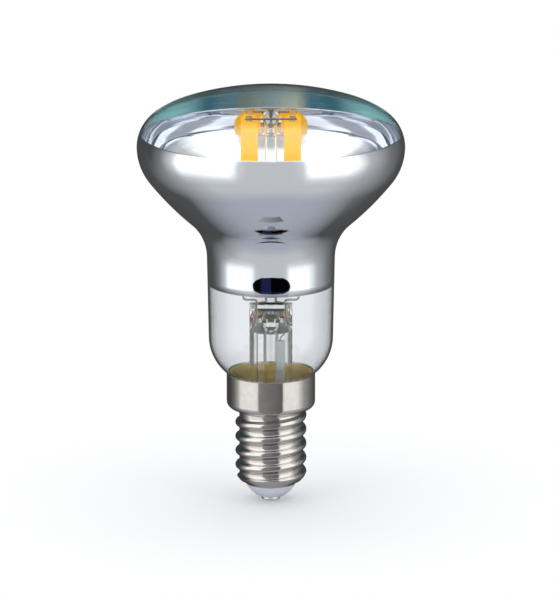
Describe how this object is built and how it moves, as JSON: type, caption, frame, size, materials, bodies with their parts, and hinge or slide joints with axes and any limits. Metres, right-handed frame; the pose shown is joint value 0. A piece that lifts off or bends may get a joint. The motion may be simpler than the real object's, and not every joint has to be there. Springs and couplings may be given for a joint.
{
  "type": "reflector bulb",
  "caption": "Reflector lamp with a mirrored bowl under a clear dome, filament strips inside, a glass neck and a small screw cap with a plain collar.",
  "frame": {"origin": "centre of the centre contact's face, at the bottom of the cap", "axes": "+Z along the lamp axis towards the clear dome; -Y faces the viewer of the picture"},
  "size_m": [0.051, 0.051, 0.0806],
  "materials": {
    "glass": "clear blown glass",
    "mirror": "bright vapour coated mirror",
    "stem_glass": "clear pressed glass",
    "phosphor": "matt yellow phosphor silicone",
    "terminal": "bare metal",
    "wire": "bare nickel wire",
    "dumet": "copper red seal wire",
    "sleeve": "white woven sleeve",
    "cement": "dull yellow cement",
    "cap_metal": "satin nickel plate",
    "insulator": "pale translucent moulding",
    "contact": "nickel plate",
    "board": "green solder resist",
    "black_part": "black moulding",
    "capacitor_can": "dark shrink sleeve",
    "resistor": "blue grey lacquer",
    "liner": "thin plastic"
  },
  "bodies": {
    "root": {"glass_bulb": "glass", "mirror_coating": "mirror", "stem_flare": "stem_glass", "exhaust_tube": "stem_glass", "support_post": "stem_glass", "jumper_wire_front": "wire", "jumper_wire_rear": "wire", "anchor_wire": "wire", "filament_bar_left": "wire", "filament_bar_right": "wire", "inner_lead_left": "wire", "inner_lead_right": "wire", "dumet_seal_left": "dumet", "dumet_seal_right": "dumet", "outer_lead_left": "wire", "outer_lead_right": "wire", "lead_sleeve": "sleeve", "basing_cement": "cement", "cap_shell": "cap_metal", "cap_insulator": "insulator", "centre_contact": "contact", "driver_board": "board", "rectifier": "black_part", "current_regulator": "black_part", "smoothing_capacitor": "capacitor_can", "fuse_resistor": "resistor", "feed_wire": "wire", "return_wire": "wire", "insulating_liner": "liner", "filament_strip_front_left": "terminal", "filament_coat_front_left": "phosphor", "filament_strip_front_right": "terminal", "filament_coat_front_right": "phosphor", "filament_strip_rear_left": "terminal", "filament_coat_rear_left": "phosphor", "filament_strip_rear_right": "terminal", "filament_coat_rear_right": "phosphor"}
  },
  "joints": []
}
